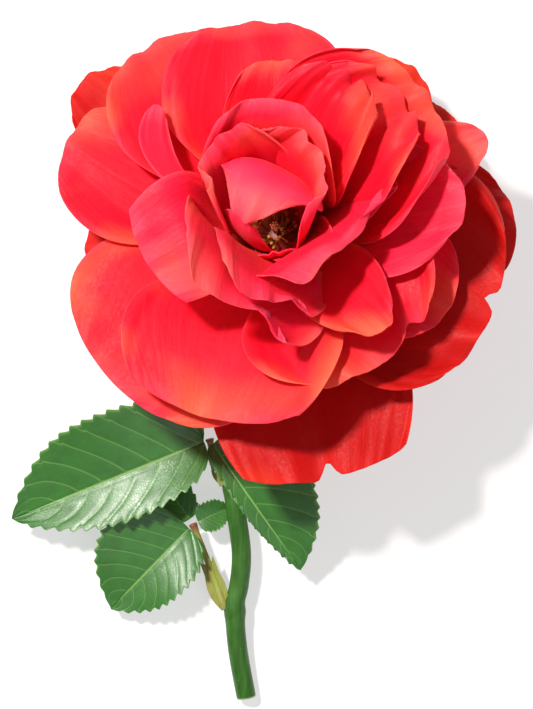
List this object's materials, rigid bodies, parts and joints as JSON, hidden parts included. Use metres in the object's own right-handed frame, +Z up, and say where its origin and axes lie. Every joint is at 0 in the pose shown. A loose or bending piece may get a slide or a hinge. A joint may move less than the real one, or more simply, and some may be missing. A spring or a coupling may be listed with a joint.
{
  "type": "cut rose",
  "caption": "Open red garden rose on a short cut stem with two compound leaves, lying down with its bloom facing up.",
  "frame": {"origin": "middle of the rose's box, at the height of the surface that it lies on", "axes": "+Z up from the surface, towards the open face of the bloom; -Y along the stem towards its cut end; +X to the right when the bloom is looked down on with the stem towards the viewer"},
  "size_m": [0.1172, 0.159, 0.069],
  "materials": {
    "petal_red": "soft satin, velvety, thin",
    "petal_shaded": "soft satin, velvety, deeper red",
    "leaf_green": "waxy, half glossy, veined",
    "sepal_green": "matt, downy",
    "leaf_stalk": "smooth, reddish at the joints",
    "hip_green": "smooth, waxy",
    "stem_green": "smooth, waxy, slightly glossy",
    "stamen": "dry, powdery",
    "pistil": "matt"
  },
  "bodies": {
    "root": {"hip": "hip_green", "leaf_stalk_lower": "leaf_stalk", "leaf_stalk_upper": "leaf_stalk", "leaflet_lower_end": "leaf_green", "leaflet_lower_left": "leaf_green", "leaflet_lower_right": "leaf_green", "leaflet_upper_hidden": "leaf_green", "leaflet_upper_left": "leaf_green", "leaflet_upper_right": "leaf_green", "petal_centre_hood": "petal_red", "petal_centre_left": "petal_red", "petal_centre_low": "petal_red", "petal_centre_right": "petal_red", "petal_heart_arch": "petal_red", "petal_heart_crinkled_left": "petal_red", "petal_heart_crinkled_right": "petal_red", "petal_heart_left": "petal_red", "petal_heart_left_inner": "petal_red", "petal_heart_ribbon": "petal_red", "petal_inner_cup": "petal_red", "petal_inner_left_panel": "petal_red", "petal_inner_left_ribbon": "petal_red", "petal_inner_low_right": "petal_red", "petal_inner_rolled": "petal_red", "petal_inner_top": "petal_red", "petal_inner_upper_right": "petal_red", "petal_middle_lower_left": "petal_red", "petal_middle_lower_right": "petal_red", "petal_middle_right": "petal_red", "petal_middle_right_lobe": "petal_red", "petal_middle_right_tip": "petal_red", "petal_middle_top": "petal_red", "petal_middle_upper_left": "petal_red", "petal_outer_bottom": "petal_shaded", "petal_outer_left": "petal_red", "petal_outer_left_low": "petal_shaded", "petal_outer_lower_left": "petal_red", "petal_outer_lower_right": "petal_shaded", "petal_outer_right": "petal_shaded", "petal_outer_top": "petal_shaded", "petal_outer_upper_left_low": "petal_shaded", "petal_outer_upper_right": "petal_shaded", "petal_outer_upper_right_low": "petal_shaded", "pistils": "pistil", "sepal_1": "sepal_green", "sepal_2": "sepal_green", "sepal_3": "sepal_green", "sepal_4": "sepal_green", "sepal_5": "sepal_green", "stamens": "stamen", "stem": "stem_green"}
  },
  "joints": []
}
